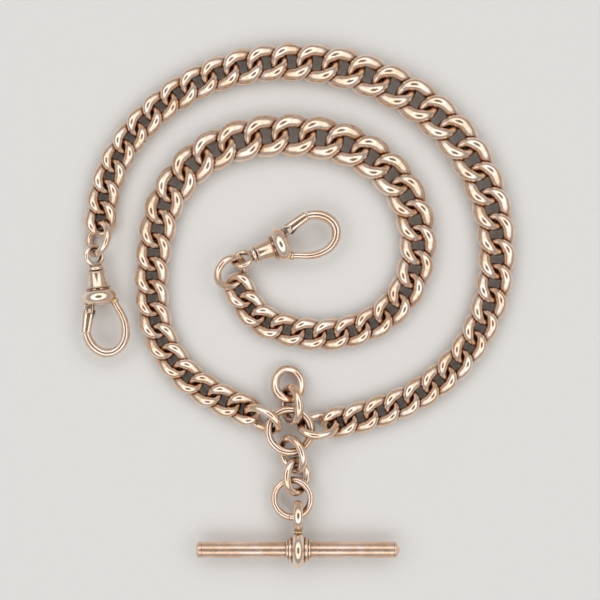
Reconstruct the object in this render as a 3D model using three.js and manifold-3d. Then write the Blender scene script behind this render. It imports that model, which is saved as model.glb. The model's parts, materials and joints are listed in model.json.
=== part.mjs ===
// A double Albert watch chain: two graduated curb halves laid in a flat two-turn spiral, joined at a
// central ring that also carries a fob drop and a T-bar drop, with a swivel clip on each free end.
// Units are mm and +Z is up. Everything is built outward from the central ring and then centred.
import * as THREE from 'three';
import { mergeVertices } from 'three/addons/utils/BufferGeometryUtils.js';
import Module from 'manifold-3d';

const wasm = await Module();
wasm.setup();
const { Manifold, Mesh: ManifoldMesh } = wasm;

// ---- driving sizes ----
const LINKS_PER_HALF = 36;
const SMALL = { wire: 1.45, width: 6.1, pitch: 4.15 };   // curb links at both ends of a half
const LARGE = { wire: 1.8, width: 8.1, pitch: 5.2 };    // curb links in the middle of a half
const PLAY = 0.44;          // slack between two neighbouring loops
const FUSE = 0.3;           // how far the two links of one node are drawn into each other
const TWIST_GAP = 0.5;      // air between the crossing wires of two curb links

const CENTRE_RING = { outer: 9.4, wire: 1.3, z: 3.6 };
const T_RING = { outer: 8.3, wire: 1.35, x: 0.5, y: -12.7, z: 2.8 };

// plain oval links round the centre, with outside sizes
const OVAL_LINKS = {
  outer_end_link: { length: 8.15, width: 6.8, wire: 1.4 },
  inner_end_link: { length: 8.3, width: 6.75, wire: 1.4 },
  fob_link: { length: 7.9, width: 7.15, wire: 1.5 },
  fob_ring: { length: 7.2, width: 6.75, wire: 1.5 },
  drop_link_upper: { length: 7.6, width: 6.75, wire: 1.4 },
  drop_link_lower: { length: 7.5, width: 6.8, wire: 1.45 },
};

const BAR = { length: 37.8, diameter: 3.0, x: 1.6 };
const COLLAR = { ring: 4.8, bead: 6.8, width: 4.6, beadWidth: 2.6 };
const BAIL = { length: 5.8, height: 5.8, wire: 1.2, slack: 1.4 };
const SOLDER = 0.1;         // air between two pieces that are soldered together
const FIT = 0.08;           // radial air of a shaft that turns in a bore

const JUMP = { outer: 7.2, wire: 1.3, slack: 0.75 };
const EYE = { outer: 4.8, wire: 1.0 };
const BARREL = { start: 3.0, length: 3.0, thin: 3.2, thick: 4.2, bore: 1.3 };
const STEM_HEAD = { diameter: 1.9, from: 1.2, to: 2.0 };   // from and to are measured inside the barrel
const RIM = { width: 0.3, proud: 0.35 };
const CLIP_COLLAR = { diameter: 6.5, width: 3.0, edge: 0.7 };
const BOW = { wire: 1.45, length: 10, width: 9.0, offset: 0.5 };
const GATE = { wide: 1.05, thick: 1.3, length: 4.4, heel: 0.62, pin: 0.6 };
const LUG = { length: 1.9, width: 1.5, thick: 0.6, inset: 1.35 };
const LEAF = { wide: 1.0, thick: 0.24, inset: 1.05 };
const CLIP_GAP = 0.22;      // air round the moving pieces of a clip

// ---- how each link lies: x, y, z of its middle, then heading, pitch and roll in degrees ----
const LIES = {
  outer_end_link: [5.35, 0.9, 3, 12, -22, -50],
  inner_end_link: [-5.05, 2.15, 3, 159, -21.5, -51],
  fob_link: [0.35, 4.9, 3.6, 98, -10, -60],
  fob_ring: [-0.25, 8.6, 2.3, 87, -16, 18],
  drop_link_upper: [0.5, -4.35, 3.4, -71, 2, 46],
  drop_link_lower: [1.35, -8.55, 2.9, -91, -1, -44],
  t_bar_ring: [T_RING.x, T_RING.y, T_RING.z, -91, 0, 8],
};

// ---- how the two halves lie: bends as [length, turn in degrees], leftward turns positive ----
const OUTER_LAY = {
  heading: 12,
  start: { x: 9.1, y: 1.4 },
  bends: [[8, 6], [6, 8], [25, 48], [20, 33], [25, 41], [19, 25], [13, 17], [25, 39], [19, 37]],
};
const INNER_LAY = {
  heading: 158,
  start: { x: -8.5, y: 3.8 },
  bends: [[7.5, -8], [21, -57], [15.5, -17], [21.5, -62], [18, -27], [11, -29], [21.5, -64],
    [16, -58], [20.5, -51], [5, -39]],
};

const ROSE = { color: 0xc98f6c, roughness: 0.24, metalness: 1 };
const ROSE_PALE = { color: 0xd6a07c, roughness: 0.2, metalness: 1 };
const STEEL = { color: 0x9aa0a6, roughness: 0.4, metalness: 1 };

const rad = THREE.MathUtils.degToRad;
const mix = THREE.MathUtils.lerp;
const group = new THREE.Group();

function add(name, geometry, look = ROSE) {
  const mesh = new THREE.Mesh(geometry, new THREE.MeshStandardMaterial(look));
  mesh.name = name;
  group.add(mesh);
}

// ---- solids ----
function clean(geometry) {
  geometry.deleteAttribute('normal');
  geometry.deleteAttribute('uv');
  return mergeVertices(geometry, 1e-4);
}

function toSolid(geometry) {
  const g = clean(geometry);
  const mesh = new ManifoldMesh({
    numProp: 3,
    vertProperties: new Float32Array(g.attributes.position.array),
    triVerts: new Uint32Array(g.index.array),
  });
  return new Manifold(mesh);
}

function toGeometry(solid) {
  const mesh = solid.getMesh();
  const g = new THREE.BufferGeometry();
  g.setAttribute('position', new THREE.BufferAttribute(new Float32Array(mesh.vertProperties), 3));
  g.setIndex(new THREE.BufferAttribute(new Uint32Array(mesh.triVerts), 1));
  return g;
}

// joins overlapping parts into one body, without the slivers of air that a joint can trap
function joined(...parts) {
  const bodies = Manifold.union(parts.map(toSolid)).decompose();
  return toGeometry(bodies.reduce((most, body) => (body.volume() > most.volume() ? body : most)));
}

// a closed loop of round wire: half-length a and half-width b along the wire's centre, and a curb
// twist that lifts one diagonal pair of quarters by h and lowers the other
function loop(a, b, h, wire, around = 6, along = 10) {
  const g = clean(new THREE.TorusGeometry(1, 0.5, around, along));
  const p = g.attributes.position;
  const up = new THREE.Vector3();
  for (let i = 0; i < p.count; i++) {
    const u = Math.atan2(p.getY(i), p.getX(i));
    const v = Math.atan2(p.getZ(i), Math.hypot(p.getX(i), p.getY(i)) - 1);
    const centre = new THREE.Vector3(a * Math.cos(u), b * Math.sin(u), -h * Math.sin(2 * u));
    const run = new THREE.Vector3(-a * Math.sin(u), b * Math.cos(u), -2 * h * Math.cos(2 * u));
    run.normalize();
    up.set(0, 0, 1).addScaledVector(run, -run.z).normalize();
    const out = new THREE.Vector3().crossVectors(run, up);
    centre.addScaledVector(out, wire / 2 * Math.cos(v)).addScaledVector(up, wire / 2 * Math.sin(v));
    p.setXYZ(i, centre.x, centre.y, centre.z);
  }
  return g;
}

// a pose: x, y, z of the middle, heading of the long axis, nose-up pitch and roll, in degrees
function pose(x, y, z, heading, pitch = 0, roll = 0) {
  const turn = new THREE.Euler(rad(roll), -rad(pitch), rad(heading), 'ZYX');
  return new THREE.Matrix4().makeRotationFromEuler(turn).setPosition(x, y, z);
}

// the length and width given are outside sizes
function ovalRing(length, width, wire, along = 14) {
  return loop((length - wire) / 2, (width - wire) / 2, 0, wire, 6, along);
}

// ---- the laid curve of one half ----
function walk(lay, runLength) {
  const total = lay.bends.reduce((sum, bend) => sum + bend[0], 0);
  const stretch = runLength / total;
  return (s) => {
    let { x, y } = lay.start;
    let heading = lay.heading;
    let left = s;
    for (const [length, turn] of lay.bends) {
      const piece = Math.min(left, length * stretch);
      if (piece <= 0) break;
      const swing = turn * piece / (length * stretch);
      const chord = piece * Math.sin(rad(swing / 2)) / rad(swing / 2);
      x += chord * Math.cos(rad(heading + swing / 2));
      y += chord * Math.sin(rad(heading + swing / 2));
      heading += swing;
      left -= piece;
    }
    return { x, y, heading };
  };
}

function curbSizes(i) {
  const k = Math.sin(Math.PI * (i + 0.5) / LINKS_PER_HALF) ** 4;
  const wire = mix(SMALL.wire, LARGE.wire, k);
  const pitch = mix(SMALL.pitch, LARGE.pitch, k);
  return { wire, width: mix(SMALL.width, LARGE.width, k), length: pitch + 2 * wire };
}

const spacing = (p, q, play) => (p.length + q.length) / 2 - p.wire - q.wire - play;

// lays one half from its first curb link outward and returns where its last link lies
function layHalf(name, lay) {
  const links = Array.from({ length: LINKS_PER_HALF }, (_, i) => curbSizes(i));
  const along = [0];
  for (let i = 1; i < links.length; i++) {
    along.push(along[i - 1] + spacing(links[i - 1], links[i], i % 2 ? -FUSE : PLAY));
  }
  const at = walk(lay, along[links.length - 1]);
  const placed = links.map((link, i) => {
    const { x, y, heading } = at(along[i]);
    const twist = (link.wire + TWIST_GAP) / 2;
    const g = loop((link.length - link.wire) / 2, (link.width - link.wire) / 2, twist, link.wire);
    return g.applyMatrix4(pose(x, y, twist + link.wire / 2, heading));
  });
  for (let i = 0; i < links.length; i += 2) {
    add(`${name}_links_${String(i / 2 + 1).padStart(2, '0')}`, joined(placed[i], placed[i + 1]));
  }
  return { ...at(along[links.length - 1]), ...links[links.length - 1] };
}

// ---- central ring, end links, fob drop and the links of the T-bar drop ----
function addRing(name, { length, width, wire }, where, along) {
  add(name, ovalRing(length, width, wire, along).applyMatrix4(pose(...where)));
}

const round = ({ outer, wire }) => ({ length: outer, width: outer, wire });

addRing('centre_ring', round(CENTRE_RING), [0, 0, CENTRE_RING.z, 0], 18);
for (const [name, size] of Object.entries(OVAL_LINKS)) {
  addRing(name, size, LIES[name]);
}
addRing('t_bar_ring', round(T_RING), LIES.t_bar_ring);

const outerEnd = layHalf('outer', OUTER_LAY);
const innerEnd = layHalf('inner', INNER_LAY);

// ---- T-bar: collar, shackle loop and bar ----
function lathe(profile, segments = 16) {
  return new THREE.LatheGeometry(profile.map(([r, y]) => new THREE.Vector2(r, y)), segments);
}

const barZ = COLLAR.bead / 2;
const ringBottom = T_RING.y - T_RING.outer / 2 + T_RING.wire / 2;
const bailTop = ringBottom + T_RING.wire / 2 + BAIL.slack + BAIL.wire;
const bailY = bailTop - BAIL.length / 2;
const barY = bailTop - BAIL.length - SOLDER - COLLAR.bead / 2;

function addBar() {
  const r = BAR.diameter / 2;
  const h = BAR.length / 2;
  const bar = lathe([[0, -h], [r * 0.6, -h], [r, -h + 0.8], [r, h - 0.8], [r * 0.6, h], [0, h]]);
  bar.rotateZ(-Math.PI / 2).applyMatrix4(pose(BAR.x, barY, barZ, 0));
  add('t_bar', bar);

  const bore = r + FIT;
  const { ring, bead, width, beadWidth } = COLLAR;
  const collar = lathe([[bore, -width / 2], [ring / 2, -width / 2], [ring / 2, -beadWidth / 2],
    [bead / 2 - 0.5, -beadWidth / 2], [bead / 2, -beadWidth / 4], [bead / 2, beadWidth / 4],
    [bead / 2 - 0.5, beadWidth / 2], [ring / 2, beadWidth / 2], [ring / 2, width / 2],
    [bore, width / 2], [bore, -width / 2]]);
  collar.rotateZ(-Math.PI / 2).applyMatrix4(pose(BAR.x, barY, barZ, 0));
  add('t_bar_collar', collar, ROSE_PALE);

  const bail = ovalRing(BAIL.length, BAIL.height, BAIL.wire);
  bail.applyMatrix4(pose(BAR.x, bailY, barZ, 90, 0, 90));
  add('t_bar_bail', bail, ROSE_PALE);
}
addBar();

// ---- swivel clips ----
// a clip is drawn with its axis along +X from the eye at the origin, its gate on the +Y side, and is
// then turned to its heading; lie holds how its pieces lie, and its side, +1 or -1, mirrors the gate
function tube(points, wire) {
  const shape = new THREE.Shape().absarc(0, 0, wire / 2, 0, 2 * Math.PI);
  const path = new THREE.CatmullRomCurve3(points.map((q) => new THREE.Vector3(...q)));
  return new THREE.ExtrudeGeometry(shape, { curveSegments: 6, steps: 16, extrudePath: path });
}

function addClip(name, end, lie) {
  const reach = spacing(end, { length: JUMP.outer, wire: JUMP.wire }, JUMP.slack);
  const z = CLIP_COLLAR.diameter / 2;
  const jump = {
    x: end.x + reach * Math.cos(rad(end.heading)),
    y: end.y + reach * Math.sin(rad(end.heading)),
  };
  const hop = (JUMP.outer - JUMP.wire) / 2 + 0.3;
  addRing(`${name}_jump_ring`, round(JUMP),
    [jump.x, jump.y, lie.jumpZ, lie.jumpHeading, lie.jumpPitch, lie.jumpRoll], 16);
  const eye = {
    x: jump.x + hop * Math.cos(rad(lie.jumpHeading)),
    y: jump.y + hop * Math.sin(rad(lie.jumpHeading)),
  };
  const place = pose(eye.x, eye.y, z, lie.heading);
  const put = (part, geometry, look) => {
    if (lie.side < 0) {
      geometry.applyMatrix4(new THREE.Matrix4().makeRotationX(Math.PI));
    }
    add(`${name}_${part}`, geometry.applyMatrix4(place), look);
  };

  // eye with a stem that ends in a round head inside the barrel
  const { start, length, thin, thick } = BARREL;
  const bore = BARREL.bore / 2;
  const stem = bore - FIT;
  const head = STEM_HEAD.diameter / 2;
  const headFrom = start + STEM_HEAD.from;
  const headTo = start + STEM_HEAD.to;
  const eyeRing = ovalRing(EYE.outer, EYE.outer, EYE.wire).applyMatrix4(pose(0, 0, 0, 0, 0, lie.eyeRoll));
  const eyeEnd = EYE.outer / 2 - EYE.wire / 2;
  const stemTurned = lathe([[0, eyeEnd - 0.1], [stem, eyeEnd - 0.1], [stem, headFrom], [head, headFrom],
    [head, headTo], [0, headTo]], 12).rotateZ(-Math.PI / 2);
  put('swivel_eye', joined(eyeRing, stemTurned), ROSE_PALE);

  // hook body: bored barrel, rim, collar and bow
  const rimFrom = start + length;
  const c0 = rimFrom + RIM.width;
  const c1 = c0 + CLIP_COLLAR.width;
  const rc = CLIP_COLLAR.diameter / 2;
  const rimR = thick / 2 + RIM.proud;
  const { edge } = CLIP_COLLAR;
  const cavity = head + CLIP_GAP;
  const barrel = lathe([[bore, start], [thin / 2, start], [thick / 2, rimFrom], [rimR, rimFrom],
    [rimR, c0], [rc - edge, c0 + 0.1], [rc, c0 + edge + 0.1], [rc, c1 - edge - 0.1], [rc - edge, c1],
    [0, c1], [0, headTo + CLIP_GAP], [cavity, headTo + CLIP_GAP], [cavity, headFrom - CLIP_GAP],
    [bore, headFrom - CLIP_GAP], [bore, start]], 16).rotateZ(-Math.PI / 2);
  const w = BOW.wire;
  const half = BOW.width / 2 - w / 2;
  const far = c1 + BOW.length - w / 2;
  const gateY = half - BOW.offset;
  const low = -half - BOW.offset;
  const tip = c1 + GATE.length + CLIP_GAP + 0.35;
  const bow = tube([[c1 - 1, low + 1.6, 0], [c1 + 0.4, low + 1.1, 0], [c1 + 2.6, low + 0.25, 0],
    [c1 + 5, low, 0], [far - 1.3, low + 1.2, 0], [far, (low + gateY) / 2, 0], [far - 1.3, gateY - 1.2, 0],
    [tip + 0.9, gateY - 0.1, 0], [tip, gateY, 0]], w);
  const lugY = rc - LUG.inset;
  const slot = GATE.thick + 2 * CLIP_GAP;
  const lug = (s) => new THREE.BoxGeometry(LUG.length, LUG.width, LUG.thick)
    .translate(c1 + 0.55, lugY, s * (slot + LUG.thick) / 2);
  const pinR = GATE.pin / 2;
  let body = Manifold.union([barrel, bow, lug(1), lug(-1)].map(toSolid));
  const pinX = c1 + 0.75;
  const onPin = (radius, depth) => new THREE.CylinderGeometry(radius, radius, depth, 12)
    .rotateX(Math.PI / 2).translate(pinX, lugY, 0);
  const hole = toSolid(onPin(pinR + 0.05, 6));
  body = body.subtract(hole);
  put('hook_body', toGeometry(body));

  // gate: a small lever with a round heel on the pin, closing against the bow's tip
  const heel = onPin(GATE.heel, GATE.thick);
  const leverLength = tip - CLIP_GAP - pinX;
  const lean = Math.atan2(gateY - lugY, leverLength);
  const lever = new THREE.BoxGeometry(leverLength, GATE.wide, GATE.thick)
    .translate(leverLength / 2, 0, 0).rotateZ(lean).translate(pinX, lugY, 0);
  let gate = Manifold.union([toSolid(heel), toSolid(lever)]);
  gate = gate.subtract(hole);
  put('gate', toGeometry(gate), ROSE_PALE);

  const pin = onPin(pinR, slot + 2 * LUG.thick);
  put('gate_pin', pin, STEEL);

  // leaf spring: rides on the back of the gate, with its heel turned down towards the collar's face
  const s0 = lugY - LEAF.inset;
  const t = LEAF.thick / 2;
  const leaf = new THREE.Shape([[pinX, s0 - t], [pinX + 0.55, s0 - t], [pinX + 2.2, s0 + 0.72],
    [pinX + 2.1, s0 + 0.88], [pinX + 0.45, s0 + t], [pinX, s0 + t]].map((q) => new THREE.Vector2(...q)));
  const spring = new THREE.ExtrudeGeometry(leaf, { depth: LEAF.wide, bevelEnabled: false })
    .translate(0, 0, -LEAF.wide / 2);
  put('gate_spring', spring, STEEL);
}

addClip('outer', outerEnd,
  { heading: -83, side: -1, jumpZ: 2.8, jumpHeading: 258, jumpPitch: 8, jumpRoll: 50, eyeRoll: -40 });
addClip('inner', innerEnd,
  { heading: 21, side: 1, jumpZ: 3.08, jumpHeading: 49, jumpPitch: -7, jumpRoll: 40, eyeRoll: -44 });

// ---- seat the middle of the outline on the origin with the lowest point at z = 0 ----
const box = new THREE.Box3().setFromObject(group);
const middle = box.getCenter(new THREE.Vector3());
for (const mesh of group.children) {
  mesh.geometry.translate(-middle.x, -middle.y, -box.min.z);
}

export default group;
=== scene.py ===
# %% [markdown]
# # A double Albert watch chain in rose gold
# The object is two graduated curb chains laid in a flat spiral. A plain ring joins them and carries a
# short fob drop and a T-bar on two drop links, and each chain ends in a swivel clip.
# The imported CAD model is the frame: it says where each body is and how it moves. Every visible piece
# is then modelled again with smooth wire, round turnings and soldered joints, and rides on its body.

# %% Load the frame
import json
import math

import bpy
import numpy as np
from mathutils import Matrix, Vector


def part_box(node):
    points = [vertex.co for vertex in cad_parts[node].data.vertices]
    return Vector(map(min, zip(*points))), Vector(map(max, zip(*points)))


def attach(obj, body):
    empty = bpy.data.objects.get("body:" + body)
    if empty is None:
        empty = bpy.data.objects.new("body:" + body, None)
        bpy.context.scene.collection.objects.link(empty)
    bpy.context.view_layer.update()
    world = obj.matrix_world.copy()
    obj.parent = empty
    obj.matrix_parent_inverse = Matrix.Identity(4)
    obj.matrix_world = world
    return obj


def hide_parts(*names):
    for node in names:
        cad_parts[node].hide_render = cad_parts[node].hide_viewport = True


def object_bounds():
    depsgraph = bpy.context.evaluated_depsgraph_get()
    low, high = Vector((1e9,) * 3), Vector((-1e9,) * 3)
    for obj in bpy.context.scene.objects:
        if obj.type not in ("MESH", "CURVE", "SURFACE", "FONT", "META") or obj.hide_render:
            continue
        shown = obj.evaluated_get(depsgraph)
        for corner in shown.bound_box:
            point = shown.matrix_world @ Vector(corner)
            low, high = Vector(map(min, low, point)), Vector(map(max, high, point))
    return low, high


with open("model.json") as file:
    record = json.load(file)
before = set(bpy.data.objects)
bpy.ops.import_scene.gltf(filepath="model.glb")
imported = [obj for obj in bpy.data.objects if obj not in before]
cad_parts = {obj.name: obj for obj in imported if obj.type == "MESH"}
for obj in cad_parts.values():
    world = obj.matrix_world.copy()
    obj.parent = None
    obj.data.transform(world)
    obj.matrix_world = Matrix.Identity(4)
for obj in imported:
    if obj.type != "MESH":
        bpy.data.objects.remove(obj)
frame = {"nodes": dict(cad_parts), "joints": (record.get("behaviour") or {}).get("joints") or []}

cad_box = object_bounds()
joint_to = {joint["child"]: joint for joint in frame["joints"]}

# %% [markdown]
# ## Working in millimetres
# A watch chain is tiny in metres, and Blender's merge and bevel distances are easier to judge in
# round numbers. So each piece is modelled at the origin with one unit to the millimetre, and the
# last step scales it by a thousandth, puts it in place and applies that to the mesh. Scaling the
# whole scene would also work, but the frame is in metres and must stay as it is.

# %% Helpers that select, place and finish a piece
MM = 0.001
MERGE = 1e-4
SMOOTH_BELOW = math.radians(40)


def deselect():
    if bpy.context.object and bpy.context.object.mode != "OBJECT":
        bpy.ops.object.mode_set(mode="OBJECT")
    bpy.ops.object.select_all(action="DESELECT")


def pick(piece):
    deselect()
    piece.select_set(True)
    bpy.context.view_layer.objects.active = piece


def apply_place(piece, place):
    piece.matrix_world = place
    pick(piece)
    bpy.ops.object.transform_apply(location=True, rotation=True, scale=True)


def close_mesh():
    """merges doubled points, turns the faces outward and leaves edit mode"""
    bpy.ops.mesh.select_all(action="SELECT")
    bpy.ops.mesh.remove_doubles(threshold=MERGE)
    bpy.ops.mesh.normals_make_consistent(inside=False)
    bpy.ops.object.mode_set(mode="OBJECT")


def finish_piece(piece, name, place, body, finishes, stands_for=()):
    piece.name = name
    apply_place(piece, place @ Matrix.Scale(MM, 4))
    bpy.ops.object.shade_smooth_by_angle(angle=SMOOTH_BELOW)
    piece.data.materials.clear()
    for finish in finishes:
        piece.data.materials.append(finish)
    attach(piece, body)
    if stands_for:
        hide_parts(*stands_for)
    return piece


print("pieces are modelled in mm and brought to metres by", MM)

# %% [markdown]
# ## Camera
# The chain is seen from straight above, a little above the middle of the object. A long lens far
# away keeps the T-bar and the clips free of perspective; an orthographic camera would do the same,
# but it can't show the slight depth between crossing links.

# %% Camera straight above the chain
VIEW_WIDTH = 111.8 * MM
AIM = Vector((0.2, 0.95, 0)) * MM
LENS, SENSOR = 100, 36
CHAIN_TOP = 3.5 * MM

middle = (Vector(cad_box[0]) + Vector(cad_box[1])) / 2
camera_data = bpy.data.cameras.new("camera")
camera_data.lens = LENS
camera_data.sensor_width = SENSOR
camera_data.clip_start = 0.01
camera_data.clip_end = 30
camera = bpy.data.objects.new("camera", camera_data)
bpy.context.scene.collection.objects.link(camera)
camera.location = Vector((middle.x, middle.y, CHAIN_TOP + VIEW_WIDTH * LENS / SENSOR)) + AIM
bpy.context.scene.camera = camera
print("camera", [round(value, 3) for value in camera.location])

# %% [markdown]
# ## Colours and nodes
# Colours are written as the sRGB hex values that a picker shows, and one function turns them to the
# linear numbers that a shader needs. One more function adds a node, sets it and links it, so that
# each finish below reads as a short list of steps.

# %% Colour and node helpers
def colour(hex_code):
    parts = [int(hex_code[i:i + 2], 16) / 255 for i in (1, 3, 5)]
    return [c / 12.92 if c <= 0.04045 else ((c + 0.055) / 1.055) ** 2.4 for c in parts] + [1.0]


def add_node(tree, kind, settings=None, values=None, links=None):
    node = tree.nodes.new(kind)
    for key, value in (settings or {}).items():
        setattr(node, key, value)
    for key, value in (values or {}).items():
        node.inputs[key].default_value = value
    for key, source in (links or {}).items():
        tree.links.new(source, node.inputs[key])
    return node


def new_finish(name):
    finish = bpy.data.materials.new(name)
    finish.use_nodes = True
    tree = finish.node_tree
    shader = next(n for n in tree.nodes if n.type == "BSDF_PRINCIPLED")
    where = add_node(tree, "ShaderNodeTexCoord").outputs["Object"]
    return finish, tree, shader, where


def per_mm(size):
    """scale of a noise whose blotches are about size millimetres wide"""
    return 1 / (size * MM)


print("white is", colour("#ffffff")[:3])

# %% [markdown]
# ## Polished rose gold
# Nine-carat rose gold is gold with much copper, polished with rouge and then worn in a pocket for
# decades. The eye sees a pale pink-gold mirror that is slightly cloudy, with hairline scratches, and
# a browner tone where links rub and polish never reaches. A single metal colour looks like plastic,
# so the tone is mixed between worn bright metal and a dark brown, found with an Ambient Occlusion
# node of the wire's own thickness. The brown is partly that tarnish and partly painted shade: it also
# darkens the crevices between links and the lower flanks near the floor, where shade falls. Real
# scratches are too fine to see at this size, so they are drawn at about a sixth of a millimetre. The
# clips are paler, the bar is satin rather than bright, and solder is yellower.

# %% Gold finishes
def polished_gold(name, bright, warm, tarnish_and_shade, gloss):
    finish, tree, shader, where = new_finish(name)
    cloud = add_node(tree, "ShaderNodeTexNoise", values={"Scale": per_mm(3), "Detail": 3},
                     links={"Vector": where})
    tone = add_node(tree, "ShaderNodeValToRGB", links={"Fac": cloud.outputs["Fac"]})
    tone.color_ramp.elements[0].position = 0.35
    tone.color_ramp.elements[0].color = colour(warm)
    tone.color_ramp.elements[1].position = 0.62
    tone.color_ramp.elements[1].color = colour(bright)
    # painted shade and tarnish: Ambient Occlusion pulls the colour towards the dark brown in crevices
    # between links and on the flanks near the floor
    occlusion_shade = add_node(tree, "ShaderNodeAmbientOcclusion", settings={"samples": 8},
                       values={"Distance": 1.5 * MM})
    depth = add_node(tree, "ShaderNodeMapRange", values={"From Min": 0.3, "From Max": 0.9},
                     links={"Value": occlusion_shade.outputs["AO"]})
    mixed = add_node(tree, "ShaderNodeMix", settings={"data_type": "RGBA"},
                     links={"Factor": depth.outputs["Result"]})
    mixed.inputs[6].default_value = colour(tarnish_and_shade)
    tree.links.new(tone.outputs["Color"], mixed.inputs[7])
    tree.links.new(mixed.outputs[2], shader.inputs["Base Color"])

    rub = add_node(tree, "ShaderNodeTexNoise", values={"Scale": per_mm(0.6), "Detail": 4},
                   links={"Vector": where})
    rough = add_node(tree, "ShaderNodeMapRange",
                     values={"From Min": 0.3, "From Max": 0.7, "To Min": gloss, "To Max": gloss + 0.1},
                     links={"Value": rub.outputs["Fac"]})
    tree.links.new(rough.outputs["Result"], shader.inputs["Roughness"])
    scratch = add_node(tree, "ShaderNodeTexNoise",
                       values={"Scale": per_mm(0.17), "Detail": 2, "Distortion": 1.5},
                       links={"Vector": where})
    dent = add_node(tree, "ShaderNodeTexNoise", values={"Scale": per_mm(1.3), "Detail": 1},
                    links={"Vector": where})
    fine = add_node(tree, "ShaderNodeBump", values={"Strength": 0.05, "Distance": 0.02 * MM},
                    links={"Height": scratch.outputs["Fac"]})
    bump = add_node(tree, "ShaderNodeBump", values={"Strength": 0.12, "Distance": 0.05 * MM},
                    links={"Height": dent.outputs["Fac"], "Normal": fine.outputs["Normal"]})
    tree.links.new(bump.outputs["Normal"], shader.inputs["Normal"])
    shader.inputs["Metallic"].default_value = 1.0
    return finish


# the third colour of each finish is the dark brown of tarnish and painted shade in crevices and low
# flanks
rose_gold = polished_gold("polished rose gold", "#f7e2d3", "#eecdb1", "#8c5f3f", 0.17)
pale_gold = polished_gold("polished pale rose gold", "#f8e6d7", "#efd3ba", "#926545", 0.15)
satin_gold = polished_gold("satin rose gold", "#f2d8c6", "#e4c0a4", "#8c5f3f", 0.26)
solder = polished_gold("yellow gold solder", "#f2dcb0", "#e6c690", "#94703f", 0.24)
seam = polished_gold("hard solder seam", "#f4e0c4", "#ebd0ac", "#906a44", 0.22)
print("gold finishes", [gold.name for gold in (rose_gold, pale_gold, satin_gold, solder, seam)])

# %% [markdown]
# ## Spring steel
# The gate of each clip is pushed shut by a thin leaf spring of drawn steel, which is grey, with fine
# lines along its length and a satin shine. The lines are stretched noise about a tenth of a
# millimetre apart, which is coarser than real drawing marks so that they show. The CAD pin under
# each riveted gold pin is steel too.

# %% Steel finish
def drawn_steel():
    finish, tree, shader, where = new_finish("drawn spring steel")
    stretch = add_node(tree, "ShaderNodeMapping", links={"Vector": where})
    stretch.inputs["Scale"].default_value = (1.0, 1.0, 8.0)
    lines = add_node(tree, "ShaderNodeTexNoise", values={"Scale": per_mm(0.1) / 8, "Detail": 3},
                     links={"Vector": stretch.outputs["Vector"]})
    tone = add_node(tree, "ShaderNodeValToRGB", links={"Fac": lines.outputs["Fac"]})
    tone.color_ramp.elements[0].color = colour("#8b8681")
    tone.color_ramp.elements[1].color = colour("#b9b4ad")
    tree.links.new(tone.outputs["Color"], shader.inputs["Base Color"])
    bump = add_node(tree, "ShaderNodeBump", values={"Strength": 0.2, "Distance": 0.02 * MM},
                    links={"Height": lines.outputs["Fac"]})
    tree.links.new(bump.outputs["Normal"], shader.inputs["Normal"])
    shader.inputs["Metallic"].default_value = 1.0
    shader.inputs["Roughness"].default_value = 0.34
    return finish


steel = drawn_steel()
for node_name, node in frame["nodes"].items():
    node.data.materials.clear()
    node.data.materials.append(steel if node_name.endswith(("pin", "spring")) else rose_gold)
print("steel finish", steel.name, "and every CAD node has a finish of its own kind")

# %% [markdown]
# ## A closed loop of wire
# Every ring and link here is a length of round wire bent shut and soldered. A torus primitive can
# only be round, and scaling it would squash the wire too. A Bézier circle is better: its points are
# moved to the loop's shape and its bevel then stays round all the way. Curb links are also twisted,
# so their four quarters are raised and lowered by turns. The solder joint is one narrow band of
# faces with a yellower finish.

# %% Wire loop, and the band of solder on it
def wire_loop(length, width, wire, twist=0.0, belly=1.0, shoulder=1.0):
    """belly and shoulder are the wire's share of thickness at the sides and at the four quarters"""
    deselect()
    bpy.ops.curve.primitive_bezier_circle_add(radius=1)
    loop = bpy.context.object
    loop.data.dimensions = "3D"
    bpy.ops.object.mode_set(mode="EDIT")
    bpy.ops.curve.select_all(action="SELECT")
    half_length, half_width = (length - wire) / 2, (width - wire * belly) / 2
    bpy.ops.transform.resize(value=(half_length, half_width, 1))
    bpy.ops.curve.subdivide(number_cuts=1)
    for lift in (-twist, twist):
        bpy.ops.curve.select_all(action="DESELECT")
        for point in loop.data.splines[0].bezier_points:
            across = point.co.x * point.co.y
            on_side = across * lift < -1e-3 * abs(lift)
            point.select_control_point = on_side
            point.select_left_handle = on_side
            point.select_right_handle = on_side
        if twist:
            bpy.ops.transform.translate(value=(0, 0, lift))
    bpy.ops.curve.select_all(action="SELECT")
    bpy.ops.curve.handle_type_set(type="AUTOMATIC")
    bpy.ops.object.mode_set(mode="OBJECT")
    spline = loop.data.splines[0]
    for point in spline.bezier_points:
        out = abs(point.co.y) / half_width
        point.radius = belly if out > 0.9 else shoulder if out > 0.3 else 1.0
    spline.radius_interpolation = "CARDINAL"
    loop.data.resolution_u = 6
    loop.data.bevel_depth = wire / 2
    loop.data.bevel_resolution = 5
    loop.data.twist_mode = "Z_UP"
    bpy.ops.object.convert(target="MESH")
    return bpy.context.object


def solder_band(loop, length, width, at, spread):
    """gives the second finish to the faces within spread degrees of the angle at"""
    pick(loop)
    loop.data.materials.clear()
    for finish in (rose_gold, seam):
        loop.data.materials.append(finish)
    bpy.context.tool_settings.mesh_select_mode = (False, False, True)
    for face in loop.data.polygons:
        angle = math.degrees(math.atan2(face.center.y / width, face.center.x / length)) % 360
        face.select = abs(angle - at) < spread
    bpy.ops.object.mode_set(mode="EDIT")
    loop.active_material_index = 1
    bpy.ops.object.material_slot_assign()
    bpy.ops.object.mode_set(mode="OBJECT")


trial = wire_loop(8, 7, 1.4)
print("a loop has", len(trial.data.vertices), "points and measures",
      [round(side, 2) for side in trial.dimensions])
bpy.data.objects.remove(trial)

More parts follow.
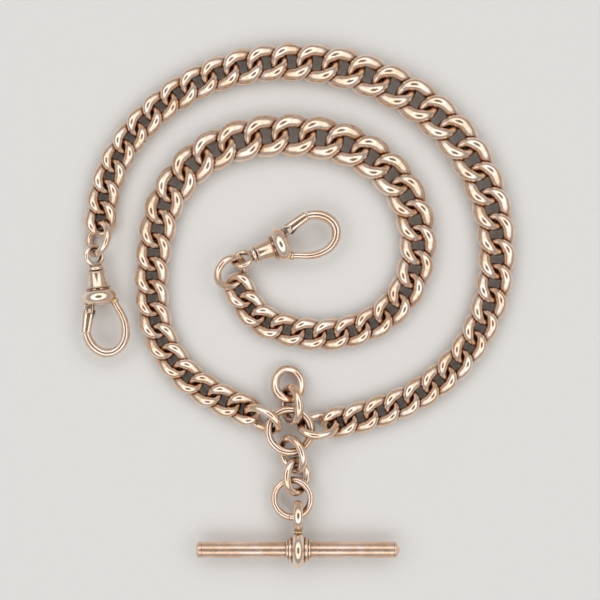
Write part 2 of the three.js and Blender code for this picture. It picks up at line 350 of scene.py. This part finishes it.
# %% [markdown]
# ## Graduated curb links
# Each half has 36 twisted links, smallest at both ends. All links of one size are alike, so each
# size is modelled once and copied with its own mesh. The frame holds two links to a node, because
# they move together; here each is a closed loop of its own. Its wire swells at the sides, and the
# swell sinks a little way into the next link where the two hook.
# Their places come from the frame: the joints between nodes stand where one link hooks the next, so
# a smooth curve through them is the line that the chain was laid on.

# %% Sizes of the links and their places on the laid line
HALVES = ("outer", "inner")
LINKS = 36
SMALL = {"wire": 1.45, "width": 6.1, "pitch": 4.15}
LARGE = {"wire": 1.8, "width": 8.1, "pitch": 5.2}
PLAY, FUSE = 0.44, 0.3
EVEN_PLAY = (PLAY - FUSE) / 2
TWIST_GAP = 0.5
END_REACH = 0.3


def link_size(i):
    grade = math.sin(math.pi * (i + 0.5) / LINKS) ** 4
    size = {key: SMALL[key] + grade * (LARGE[key] - SMALL[key]) for key in SMALL}
    size["length"] = size["pitch"] + 2 * size["wire"]
    return size


def spacing(a, b, play):
    return (a["length"] + b["length"]) / 2 - a["wire"] - b["wire"] - play


def laid_line(half, sizes):
    """distances along one half and the joint places at them"""
    along = [0.0]
    for i in range(1, LINKS):
        along.append(along[-1] + spacing(sizes[i - 1], sizes[i], -FUSE if i % 2 else PLAY))
    first, last = ((sizes[i]["length"] - sizes[i]["wire"]) / 2 for i in (0, -1))
    at = [-first - END_REACH]
    at += [(along[i - 1] + along[i]) / 2 for i in range(2, LINKS, 2)]
    at += [along[-1] + last]
    bodies = [f"{half}_links_{k:02d}" for k in range(1, LINKS // 2 + 1)] + [f"{half}_jump_ring"]
    places = [Vector(joint_to[body]["pos_m"]) / MM for body in bodies]
    return along, at, places


def on_line(at, places, s):
    """place and direction at distance s, on a smooth curve through the joints"""
    k = min(max(int(np.searchsorted(at, s)) - 1, 0), len(at) - 2)

    def slope(j):
        lo, hi = max(j - 1, 0), min(j + 1, len(at) - 1)
        return (places[hi] - places[lo]) / (at[hi] - at[lo])

    span = at[k + 1] - at[k]
    t = (s - at[k]) / span
    start, end = places[k], places[k + 1]
    out, back = slope(k) * span, slope(k + 1) * span
    place = ((2 * t**3 - 3 * t**2 + 1) * start + (t**3 - 2 * t**2 + t) * out
             + (3 * t**2 - 2 * t**3) * end + (t**3 - t**2) * back)
    run = ((6 * t**2 - 6 * t) * (start - end) + (3 * t**2 - 4 * t + 1) * out
           + (3 * t**2 - 2 * t) * back)
    return place, math.atan2(run.y, run.x)


sizes = [link_size(i) for i in range(LINKS)]
print("links from", round(sizes[0]["length"], 2), "to", round(sizes[17]["length"], 2), "mm long")

# %% Model each size of link and copy it to its places
SEAM_AT, SEAM_SPREAD = 101, 4
BELLY, SHOULDER = 1.58, 1.28
models = []
for size in sizes[:LINKS // 2]:
    wire = size["wire"]
    twist = (wire + TWIST_GAP) / 2 - (SHOULDER - 1) * wire / 2
    model = wire_loop(size["length"], size["width"], wire, twist, BELLY, SHOULDER)
    solder_band(model, size["length"] - wire, size["width"] - wire, SEAM_AT, SEAM_SPREAD)
    models.append(model)


def finish_link(link, name, lie, body):
    link.name = name
    apply_place(link, lie @ Matrix.Scale(MM, 4))
    bpy.ops.object.shade_smooth()
    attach(link, body)
    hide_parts(body)


def lay_links(half):
    along, at, places = laid_line(half, sizes)
    for i in range(LINKS):
        pair = i // 2
        mate = i + 1 if i % 2 == 0 else i - 1
        centre = (along[i] + along[mate]) / 2
        reach = spacing(sizes[i], sizes[mate], EVEN_PLAY) / 2
        place, heading = on_line(at, places, centre - reach if i < mate else centre + reach)
        link = models[min(i, LINKS - 1 - i)].copy()
        link.data = link.data.copy()
        bpy.context.scene.collection.objects.link(link)
        node_name = f"{half}_links_{pair + 1:02d}"
        lie = Matrix.Translation(place * MM) @ Matrix.Rotation(heading, 4, "Z")
        finish_link(link, f"{half}_curb_link_{i + 1:02d}", lie, node_name)


for half in HALVES:
    lay_links(half)
for model in models:
    bpy.data.objects.remove(model)

# %% [markdown]
# ## Plain rings and connecting links
# Between the chains hangs a handful of plain loops that lean on each other at all angles. Guessing
# their lean again would drift from the frame, so it is measured: the vertices of a ring's CAD node
# spread most along its length and least across its plane, and those directions are the principal
# axes of the point cloud. A new smooth loop is then laid on the same axes.

# %% Read how a ring lies, then lay the loops
def lie_of(node_name, level=False):
    """the lie of a ring; level puts its x axis as near as it can to the frame's x axis"""
    points = np.array([tuple(v.co) for v in frame["nodes"][node_name].data.vertices])
    points = np.unique(np.round(points, 7), axis=0)
    axes = np.linalg.svd(points - points.mean(0), full_matrices=False)[2]
    long_axis, normal = Vector(axes[0]), Vector(axes[2])
    if normal.z < 0:
        normal.negate()
    if level:
        long_axis = (Vector((1, 0, 0)) - normal * normal.x).normalized()
    turn = Matrix((long_axis, normal.cross(long_axis), normal)).transposed()
    spread = points @ axes.T
    centre = Vector(((spread.min(0) + spread.max(0)) / 2) @ axes)
    return Matrix.Translation(centre) @ turn.to_4x4()


# outside length, outside width and wire of each loop, and the angle of its solder joint
LOOPS = {
    "centre_ring": (9.5, 9.5, 1.52, 5),
    "outer_end_link": (8.2, 6.85, 1.53, 250),
    "inner_end_link": (8.35, 6.8, 1.53, 110),
    "fob_link": (7.95, 7.2, 1.62, 80),
    "fob_ring": (7.35, 6.9, 1.66, 200),
    "drop_link_upper": (7.65, 6.8, 1.5, 95),
    "drop_link_lower": (7.55, 6.85, 1.53, 280),
    "outer_jump_ring": (7.2, 7.2, 1.38, 150),
    "inner_jump_ring": (7.2, 7.2, 1.42, 60),
}

for node_name, (length, width, wire, seam_at) in LOOPS.items():
    loop = wire_loop(length, width, wire)
    solder_band(loop, length - wire, width - wire, seam_at, SEAM_SPREAD)
    finish_link(loop, f"{node_name}_wire", lie_of(node_name, level=length == width), node_name)
print("laid", len(LOOPS), "plain loops")

# %% [markdown]
# ## Split ring over the T-bar
# This ring was bent shut but never soldered, so a hair-thin slit shows at its foot. Cutting a finished
# torus leaves two holes to fill. Spinning a filled disc of wire by a little less than a full turn
# gives the slit and both its end faces at once.

# %% Spin the split ring
SPLIT_RING = {"outer": 8.3, "wire": 1.35, "slit": 1.6, "slit_at": 262}


def split_ring(ring):
    deselect()
    radius = (ring["outer"] - ring["wire"]) / 2
    bpy.ops.mesh.primitive_circle_add(vertices=16, radius=ring["wire"] / 2, fill_type="NGON",
                                      location=(radius, 0, 0), rotation=(math.pi / 2, 0, 0))
    wire = bpy.context.object
    bpy.ops.object.transform_apply(location=True, rotation=True, scale=True)
    bpy.ops.object.mode_set(mode="EDIT")
    bpy.ops.mesh.select_all(action="SELECT")
    bpy.ops.mesh.spin(steps=72, angle=math.radians(360 - ring["slit"]), center=(0, 0, 0), axis=(0, 0, 1))
    close_mesh()
    return wire


ring = split_ring(SPLIT_RING)
slit_turn = Matrix.Rotation(math.radians(SPLIT_RING["slit_at"]), 4, "Z")
finish_piece(ring, "t_bar_split_ring", lie_of("t_bar_ring", level=True) @ slit_turn, "t_bar_ring",
             [rose_gold], ["t_bar_ring"])
print("split ring has", len(ring.data.vertices), "points")

# %% [markdown]
# ## Turned pieces
# The bar, its collar and the barrel of each clip were turned on a lathe. A lathe is a spin: the
# outline is drawn as a chain of edges by extruding one point at a time, and spun a full turn round
# the x axis. Stacked cylinders with bevels would need a join for every step and lose the round beads.

# %% Draw an outline and spin it
def arc(x, r, radius_x, radius_r, start, end, steps=8):
    """points of an elliptical arc, with angles in degrees from the x axis"""
    angles = [math.radians(start + (end - start) * k / steps) for k in range(steps + 1)]
    return [(x + radius_x * math.cos(a), r + radius_r * math.sin(a)) for a in angles]


def turned(outline, steps=48):
    deselect()
    bpy.ops.mesh.primitive_plane_add(size=1)
    piece = bpy.context.object
    bpy.ops.object.mode_set(mode="EDIT")
    bpy.context.tool_settings.mesh_select_mode = (True, False, False)
    bpy.ops.mesh.select_all(action="SELECT")
    bpy.ops.mesh.merge(type="CENTER")
    x, r = outline[0]
    bpy.ops.transform.translate(value=(x, 0, r))
    for next_x, next_r in outline[1:]:
        bpy.ops.mesh.extrude_region_move(TRANSFORM_OT_translate={"value": (next_x - x, 0, next_r - r)})
        x, r = next_x, next_r
    bpy.ops.mesh.select_all(action="SELECT")
    bpy.ops.mesh.spin(steps=steps, angle=2 * math.pi, center=(0, 0, 0), axis=(1, 0, 0))
    close_mesh()
    return piece


def box_middle(node_name):
    low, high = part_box(node_name)
    return (low + high) / 2


print("an arc of a quarter turn:", len(arc(0, 0, 1, 1, 0, 90)), "points")

# %% [markdown]
# ## T-bar
# The bar goes through a buttonhole. It is a drawn tube with a cap soldered into each end: one is
# nearly flat with a soft edge, the other has a short blunt cone. A hairline groove shows where each
# cap meets the tube.

# %% T-bar
BAR = {"half": 18.9, "radius": 1.5}


def bar_outline(bar):
    half, r = bar["half"], bar["radius"]
    flat_cap = [(-half, 0.0)] + arc(-half + 0.35, r - 0.4, 0.35, 0.4, 180, 90)
    groove = [(-half + 0.9, r), (-half + 0.94, r - 0.04), (-half + 0.98, r)]
    tube = [(half - 1.12, r), (half - 1.08, r - 0.05), (half - 1.02, r - 0.05), (half - 1.0, r - 0.02)]
    cone_cap = arc(half - 0.75, r - 0.3, 0.22, 0.26, 90, 40, 4)
    tip = arc(half - 0.22, 0.28, 0.22, 0.25, 60, 0, 4) + [(half, 0.0)]
    return flat_cap + groove + tube + cone_cap + tip


bar = turned(bar_outline(BAR), 56)
finish_piece(bar, "t_bar_tube_and_caps", Matrix.Translation(box_middle("t_bar")), "t_bar",
             [satin_gold], ["t_bar"])
print("bar", [round(side / MM, 2) for side in bar.dimensions], "mm")

# %% [markdown]
# ## Collar and shackle of the T-bar
# A turned collar sits round the middle of the bar: a tall round bead between two steps of smaller
# rings. The shackle is a flat strap bent to a loop and soldered on top, and it is seen edge on. It
# could be swept along a path, but a wire loop widened across its plane gives the same strap.

# %% Collar, shackle and the solder between them
COLLAR = {"bore": 1.58, "bead": 3.35, "bead_half": 1.15, "ring": 2.42, "ring_to": 1.8,
          "lip": 2.05, "lip_to": 2.28}
STRAP = {"length": 5.8, "height": 5.8, "wire": 1.2, "widen": 1.5}
STRAP_FOOT = {"radius": 1.0, "down": 0.28, "up": 0.3}


def collar_outline(c):
    right = arc(0, c["ring"] - 0.3, c["bead_half"], c["bead"] - c["ring"] + 0.3, 90, 8, 10)
    right += arc((c["bead_half"] + c["ring_to"]) / 2, c["ring"] - 0.2, 0.3, 0.2, 150, 0, 6)
    right += arc((c["ring_to"] + c["lip_to"]) / 2, c["lip"] - 0.2, 0.24, 0.2, 140, -20, 6)
    right += [(c["lip_to"], c["bore"])]
    left = [(-x, r) for x, r in reversed(right[1:])]
    return left + right + [left[0]]


collar = turned(collar_outline(COLLAR), 56)
finish_piece(collar, "t_bar_beaded_collar", Matrix.Translation(box_middle("t_bar_collar")),
             "t_bar_loop", [pale_gold], ["t_bar_collar"])

strap = wire_loop(STRAP["length"], STRAP["height"], STRAP["wire"])
apply_place(strap, Matrix.Diagonal((1, 1, STRAP["widen"], 1)))
upright = Matrix.Rotation(math.pi / 2, 4, "Z") @ Matrix.Rotation(math.pi / 2, 4, "X")
finish_piece(strap, "t_bar_shackle_strap", Matrix.Translation(box_middle("t_bar_bail")) @ upright,
             "t_bar_loop", [pale_gold], ["t_bar_bail"])

down, foot_radius = -STRAP_FOOT["down"], STRAP_FOOT["radius"]
foot = turned([(down, 0), (down, foot_radius)] + arc(down, foot_radius - 0.25, 0.45, 0.25, 90, 20, 5)
              + [(STRAP_FOOT["up"], 0)], 32)
bail_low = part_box("t_bar_bail")[0]
foot_place = Vector((box_middle("t_bar_bail").x, bail_low.y, box_middle("t_bar_bail").z))
finish_piece(foot, "t_bar_shackle_solder",
             Matrix.Translation(foot_place) @ Matrix.Rotation(math.pi / 2, 4, "Z"),
             "t_bar_loop", [solder])
print("collar and shackle on body t_bar_loop")

# %% [markdown]
# ## Swivel clips
# Each clip is a bored barrel with a torus-shaped collar, in which the stem of an eye turns, and a
# bow closed by a sprung gate. Both clips are alike, so each piece is modelled in the clip's own
# frame: x runs from the eye to the bow and the gate lies on the +y side. That frame comes from two
# joints, the swivel's axis and the gate's pin.

# %% The frame of a clip
PIN = {"x": 10.05, "y": 1.9, "radius": 0.3, "reach": 1.48, "dome": 0.12}
PIN_PLACE = Matrix.Translation((PIN["x"], PIN["y"], 0)) @ Matrix.Rotation(-math.pi / 2, 4, "Y")
COLLAR_END = 9.3


def clip_frame(half):
    swivel, hinge = joint_to[f"{half}_hook"], joint_to[f"{half}_gate"]
    along = Vector(swivel["axis"]).normalized()
    pin = Vector(hinge["pos_m"])
    side = Vector((0, 0, 1)).cross(along)
    if (pin - Vector(swivel["pos_m"])).dot(side) < 0:
        side.negate()
    origin = pin - (along * PIN["x"] + side * PIN["y"]) * MM
    turn = Matrix((along, side, along.cross(side))).transposed()
    return Matrix.Translation(origin) @ turn.to_4x4()


def weld(piece, other):
    """joins two closed pieces into one closed mesh"""
    pick(piece)
    union = piece.modifiers.new("weld", "BOOLEAN")
    union.operation = "UNION"
    union.solver = "EXACT"
    union.object = other
    bpy.ops.object.modifier_apply(modifier=union.name)
    bpy.data.objects.remove(other)
    return piece


clips = {half: clip_frame(half) for half in HALVES}
print("clips at", {half: [round(v / MM, 1) for v in lie.translation] for half, lie in clips.items()})

# %% [markdown]
# ### Swivel eye
# The eye is a fat ring with a short stem, whose head is held inside the barrel. The ring is a wire
# loop, turned about the stem as it is in the frame, and a Boolean union welds it to the turned stem
# so that no face is left inside.

# %% Swivel eye
EYE = {"outer": 4.5, "wire": 1.05, "stem": 0.57, "head": 0.95, "head_at": 4.2, "head_to": 5.0}
EYE_FOOT = {"from": 2.0, "to": 2.86, "radius": 1.62}


def swivel_eye(roll):
    ring = wire_loop(EYE["outer"], EYE["outer"], EYE["wire"])
    apply_place(ring, Matrix.Rotation(roll, 4, "X"))
    middle_x = (EYE_FOOT["from"] + EYE_FOOT["to"]) / 2
    half_x = (EYE_FOOT["to"] - EYE_FOOT["from"]) / 2
    outline = [(EYE_FOOT["from"] - 0.3, 0), (EYE_FOOT["from"] - 0.2, 0.75), (EYE_FOOT["from"], 1.05)]
    outline += arc(middle_x, EYE_FOOT["radius"] - 0.4, half_x, 0.4, 165, 0, 8)
    outline += [(EYE_FOOT["to"], EYE["stem"]), (EYE["head_at"], EYE["stem"]),
                (EYE["head_at"], EYE["head"])]
    outline += arc(EYE["head_to"] - 0.25, EYE["head"] - 0.25, 0.25, 0.25, 90, 0, 4)
    outline += [(EYE["head_to"], 0)]
    return weld(ring, turned(outline, 40))


for half, lie in clips.items():
    normal = lie.to_3x3().transposed() @ lie_of(f"{half}_swivel_eye").to_3x3().col[2]
    eye = swivel_eye(math.atan2(-normal.y, normal.z))
    finish_piece(eye, f"{half}_swivel_eye_and_stem", lie, f"{half}_swivel_eye",
                 [pale_gold], [f"{half}_swivel_eye"])
print("eye welded to its stem:", len(eye.data.vertices), "points")

# %% [markdown]
# ### Barrel and collar
# The barrel starts in a narrow beaded neck, flares towards the bow, and ends in a thin rim and a
# thick collar like a torus. All of it is one turning with a bore, so one outline draws it: up the
# outside from the neck to the flat end, and back down the inside of the bore.

# %% Barrel with neck beads, rim and collar
BARREL = {"start": 3.0, "bore": 0.65, "cavity": 1.17, "cavity_from": 3.98, "cavity_to": 5.22}


def barrel_outline():
    start, bore = BARREL["start"], BARREL["bore"]
    neck = [(start, bore), (start, 1.5)] + arc(start + 0.2, 1.54, 0.2, 0.24, 180, 10, 6)
    flare = [(start + 0.46 + 2.4 * t, 1.58 + 0.4 * t ** 1.5) for t in (0, 0.2, 0.4, 0.6, 0.8, 1.0)]
    rim = arc(6.0, 2.24, 0.13, 0.2, 180, 0, 6) + [(6.2, 2.1), (6.42, 2.1)]
    torus = arc(7.72, 1.98, 1.3, 1.27, 172, 0, 16)
    end = [(9.05, 1.9), (9.15, 1.85), (COLLAR_END, 1.6), (COLLAR_END, 0)]
    inside = [(BARREL["cavity_to"], 0), (BARREL["cavity_to"], BARREL["cavity"]),
              (BARREL["cavity_from"], BARREL["cavity"]), (BARREL["cavity_from"], bore), (start, bore)]
    return neck + flare + rim + torus + end + inside


for half, lie in clips.items():
    barrel = turned(barrel_outline(), 56)
    finish_piece(barrel, f"{half}_clip_barrel_and_collar", lie, f"{half}_hook",
                 [pale_gold], [f"{half}_hook_body"])
print("barrel", [round(side / MM, 2) for side in barrel.dimensions], "mm")

# %% [markdown]
# ### Bow
# The bow is one tapering wire: thin where it is soldered to the collar, thickest round the bend and
# cut square at its tip, where the gate closes. A curve with a radius at each point tapers by itself,
# so it is drawn by extruding a Bézier curve from point to point.

# %% Bow of tapering wire
BOW_WIRE = 1.75
# x, y and share of the wire's thickness, from the collar round to the tip
BOW_LINE = [(8.4, -2.5, 0.74), (9.7, -2.95, 0.76), (11.9, -3.85, 0.8), (14.3, -4.15, 0.88),
            (16.6, -3.5, 0.96), (18.02, -2.0, 1.0), (18.38, -0.35, 1.04), (17.8, 1.2, 1.06),
            (16.6, 2.4, 1.06), (15.3, 3.0, 1.04), (14.27, 3.22, 1.0)]


def wire_path(line, wire):
    deselect()
    bpy.ops.curve.primitive_bezier_curve_add()
    path = bpy.context.object
    path.data.dimensions = "3D"
    bpy.ops.object.mode_set(mode="EDIT")
    for k in (0, 1):
        bpy.ops.curve.select_all(action="DESELECT")
        point = path.data.splines[0].bezier_points[k]
        point.select_control_point = point.select_left_handle = point.select_right_handle = True
        target = Vector((line[k][0], line[k][1], 0))
        bpy.ops.transform.translate(value=target - point.co)
    for before, after in zip(line[1:], line[2:]):
        step = (after[0] - before[0], after[1] - before[1], 0)
        bpy.ops.curve.extrude_move(TRANSFORM_OT_translate={"value": step})
    bpy.ops.curve.select_all(action="SELECT")
    bpy.ops.curve.handle_type_set(type="AUTOMATIC")
    bpy.ops.object.mode_set(mode="OBJECT")
    for point, (x, y, share) in zip(path.data.splines[0].bezier_points, line):
        point.radius = share
    path.data.resolution_u = 8
    path.data.bevel_depth = wire / 2
    path.data.bevel_resolution = 6
    path.data.use_fill_caps = True
    path.data.twist_mode = "Z_UP"
    bpy.ops.object.convert(target="MESH")
    solid = bpy.context.object
    bpy.ops.object.mode_set(mode="EDIT")
    close_mesh()
    return solid


for half, lie in clips.items():
    bow = wire_path(BOW_LINE, BOW_WIRE)
    finish_piece(bow, f"{half}_clip_bow", lie, f"{half}_hook", [rose_gold],
                 [f"{half}_hook_body"])
print("bow", [round(side / MM, 2) for side in bow.dimensions], "mm")

# %% [markdown]
# ### Solder at the bow and the gate
# The bow's foot sits in a fillet of yellow solder that has run over the end of the collar, and a
# second one fills the foot of the gate. Each is a low turned mound with a soft edge, drawn like the
# other turnings and moved to its foot.

# %% Solder fillets
FILLET = {"radius": 0.84, "height": 0.45, "inset": 0.42}
# part, y and lean in degrees of each mound
FILLET_AT = [("bow", -2.75, -16), ("gate", 1.25, 0)]


def fillet():
    r, h = FILLET["radius"], FILLET["height"]
    return turned([(-0.3, 0), (-0.3, r * 0.9), (-0.12, r)] + arc(-0.12, r - 0.25, h, 0.25, 90, 0, 5)
                  + [(h, r * 0.4), (h, 0)], 32)


for half, lie in clips.items():
    for part, y, lean in FILLET_AT:
        mound = fillet()
        spot = lie @ Matrix.Translation(Vector((COLLAR_END - FILLET["inset"], y, 0)) * MM)
        spot = spot @ Matrix.Rotation(math.radians(lean), 4, "Z")
        finish_piece(mound, f"{half}_clip_solder_at_{part}", spot, f"{half}_hook", [solder])

# %% [markdown]
# ### Cheeks, pin, gate and spring
# Two small cheeks stand on the collar and hold the pin. The gate is a tapered lever that turns on
# it and meets the bow's tip, and a bent leaf spring lies behind it. A cheek starts as a cube and the
# gate as a flattened cylinder, both shaped in edit mode: the far end is picked by the way it faces,
# scaled and shifted, and the edges are bevelled. The spring is a block extruded along its bends.

# %% Shape a bar-like piece from a cube or a cylinder
def far_end(piece):
    """selects the end face of a piece on the +x side, in edit mode"""
    bpy.ops.object.mode_set(mode="OBJECT")
    for group in (piece.data.vertices, piece.data.edges, piece.data.polygons):
        for part in group:
            part.select = False
    for face in piece.data.polygons:
        face.select = face.normal.x > 0.7
    bpy.context.tool_settings.mesh_select_mode = (False, False, True)
    bpy.ops.object.mode_set(mode="EDIT")


def block(size, centre):
    deselect()
    bpy.ops.mesh.primitive_cube_add(size=1, location=centre)
    cube = bpy.context.object
    cube.scale = size
    bpy.ops.object.transform_apply(location=True, rotation=True, scale=True)
    return cube


def soften(piece, width, segments=3):
    pick(piece)
    bevel = piece.modifiers.new("soft edges", "BEVEL")
    bevel.width = width
    bevel.segments = segments
    bevel.limit_method = "ANGLE"
    bpy.ops.object.modifier_apply(modifier=bevel.name)
    return piece


CHEEK = {"size": (1.7, 1.9, 0.5), "past_collar": 0.42, "past_pin": 0.15, "from_middle": 1.14,
         "taper": 0.7}


def cheek(sign):
    plate = block(CHEEK["size"], (COLLAR_END + CHEEK["past_collar"], PIN["y"] + CHEEK["past_pin"],
                                  sign * CHEEK["from_middle"]))
    far_end(plate)
    bpy.ops.transform.resize(value=(1, CHEEK["taper"], 1))
    bpy.ops.object.mode_set(mode="OBJECT")
    return soften(plate, 0.22, 5)


for half, lie in clips.items():
    for sign, side in ((1, "front"), (-1, "back")):
        finish_piece(cheek(sign), f"{half}_clip_cheek_{side}", lie, f"{half}_hook", [pale_gold])
print("cheeks", 2 * len(clips))

# %% Gate, pin and leaf spring
GATE = {"tip": 14.16, "tip_y": 3.28, "root": -0.25, "heel": 0.66, "thick": 1.28, "tip_wide": 1.9,
        "root_wide": 2.25, "outward": 0.3}


def gate_lever():
    run, rise = GATE["tip"] - PIN["x"], GATE["tip_y"] - PIN["y"]
    length = math.hypot(run, rise)
    root = GATE["root"]
    deselect()
    bpy.ops.mesh.primitive_cylinder_add(vertices=40, radius=0.5, depth=1,
                                        rotation=(0, math.radians(90), 0))
    lever = bpy.context.object
    bpy.ops.object.transform_apply(rotation=True)
    place = Matrix.Translation(((length + root) / 2, GATE["outward"], 0))
    apply_place(lever, place @ Matrix.Diagonal((length - root, GATE["root_wide"], GATE["thick"], 1)))
    far_end(lever)
    bpy.ops.transform.resize(value=(1, GATE["tip_wide"] / GATE["root_wide"], 1.1))
    bpy.ops.transform.translate(value=(0, -GATE["outward"], 0))
    bpy.ops.object.mode_set(mode="OBJECT")
    soften(lever, 0.2, 4)
    turn = Matrix.Translation((PIN["x"], PIN["y"], 0)) @ Matrix.Rotation(math.atan2(rise, run), 4, "Z")
    apply_place(lever, turn)
    half_thick = GATE["thick"] / 2
    heel = turned([(-half_thick, 0), (-half_thick, GATE["heel"]), (half_thick, GATE["heel"]),
                   (half_thick, 0)], 32)
    apply_place(heel, PIN_PLACE)
    return weld(lever, heel)


def gate_pin():
    r, reach, dome = PIN["radius"], PIN["reach"], PIN["dome"]
    outline = [(-reach - 0.1, 0)] + arc(-reach, 0, dome, r * 1.15, 180, 90, 4)
    outline += [(-reach + 0.02, r), (reach - 0.02, r)] + arc(reach, 0, dome, r * 1.15, 90, 0, 4)
    pin = turned(outline, 24)
    apply_place(pin, PIN_PLACE)
    return pin


LEAF = {"thick": 0.18, "wide": 0.9}
# x and y of the leaf's bends
SPRING = [(10.1, 1.08), (10.5, 1.12), (10.95, 1.32), (11.4, 1.56), (11.85, 1.8), (12.25, 2.0)]


def leaf_spring():
    first, second = SPRING[0], SPRING[1]
    strip = block((second[0] - first[0], LEAF["thick"], LEAF["wide"]),
                  ((first[0] + second[0]) / 2, first[1], 0))
    for before, after in zip(SPRING[1:], SPRING[2:]):
        far_end(strip)
        step = (after[0] - before[0], after[1] - before[1], 0)
        bpy.ops.mesh.extrude_region_move(TRANSFORM_OT_translate={"value": step})
        bpy.ops.object.mode_set(mode="OBJECT")
    return soften(strip, 0.05, 2)


for half, lie in clips.items():
    finish_piece(gate_lever(), f"{half}_gate_lever", lie, f"{half}_gate", [pale_gold],
                 [f"{half}_gate"])
    finish_piece(gate_pin(), f"{half}_gate_pin_riveted", lie, f"{half}_hook", [pale_gold],
                 [f"{half}_gate_pin"])
    finish_piece(leaf_spring(), f"{half}_gate_leaf_spring", lie, f"{half}_gate", [steel],
                 [f"{half}_gate_spring"])
print("gates, pins and springs on", len(clips), "clips")

# %% [markdown]
# ## Floor and light
# Polished metal shows what surrounds it, so the light is most of its look. A ring of eight soft
# boxes stands round the camera with a darker gap above the chain: each wire then carries unbroken
# bright bands with a narrow dark streak between them. One big lamp overhead would turn every wire
# flat white. The boxes and the sky together light a white floor to just under white.

# %% Pale floor, soft boxes and sky
FLOOR_SIZE, FLOOR_GAP = 8.0, 0.05 * MM
BOX_COUNT, BOX_SIZE, BOX_DISTANCE, BOX_HEIGHT, BOX_POWER = 8, 0.31, 0.34, 0.42, 0.315
ZENITH, HORIZON = 0.16, 0.5

deselect()
bpy.ops.mesh.primitive_plane_add(size=FLOOR_SIZE, location=(0, 0, cad_box[0][2] - FLOOR_GAP))
floor = bpy.context.object
floor.name = "floor"
paper, paper_tree, paper_shader, paper_where = new_finish("pale card")
grain = add_node(paper_tree, "ShaderNodeTexNoise", values={"Scale": per_mm(0.5), "Detail": 4},
                 links={"Vector": paper_where})
paper_tone = add_node(paper_tree, "ShaderNodeValToRGB", links={"Fac": grain.outputs["Fac"]})
paper_tone.color_ramp.elements[0].color = colour("#ebe9e6")
paper_tone.color_ramp.elements[1].color = colour("#f2f0ed")
paper_tree.links.new(paper_tone.outputs["Color"], paper_shader.inputs["Base Color"])
paper_shader.inputs["Roughness"].default_value = 0.9
floor.data.materials.append(paper)

for k in range(BOX_COUNT):
    turn = 2 * math.pi * (k + 0.5) / BOX_COUNT
    lamp_data = bpy.data.lights.new(f"soft box {k + 1}", "AREA")
    lamp_data.shape = "SQUARE"
    lamp_data.size = BOX_SIZE
    lamp_data.energy = BOX_POWER
    lamp = bpy.data.objects.new(lamp_data.name, lamp_data)
    bpy.context.scene.collection.objects.link(lamp)
    reach = Vector((BOX_DISTANCE * math.cos(turn), BOX_DISTANCE * math.sin(turn), BOX_HEIGHT))
    lamp.location = middle + reach
    lamp.rotation_euler = (middle - lamp.location).to_track_quat("-Z", "Y").to_euler()

world = bpy.data.worlds.new("studio")
world.use_nodes = True
sky_tree = world.node_tree
direction = add_node(sky_tree, "ShaderNodeTexCoord").outputs["Generated"]
height = add_node(sky_tree, "ShaderNodeSeparateXYZ", links={"Vector": direction}).outputs["Z"]
sky = add_node(sky_tree, "ShaderNodeMapRange",
               values={"From Min": 0, "From Max": 0.9, "To Min": HORIZON, "To Max": ZENITH},
               links={"Value": height})
sky_tree.links.new(sky.outputs["Result"], sky_tree.nodes["Background"].inputs["Color"])
bpy.context.scene.world = world
bpy.context.scene.view_settings.view_transform = "Standard"
print(BOX_COUNT, "soft boxes of", BOX_POWER, "W and a sky from", HORIZON, "down to", ZENITH)

# %% [markdown]
# The visible chain should be as big as the frame that it hangs on, give or take the fuller wire.
# The box of the frame, measured before any piece was added, is printed.

# %% Write the sizes and finish
print("CAD box", [[round(v / MM, 2) for v in corner] for corner in cad_box])
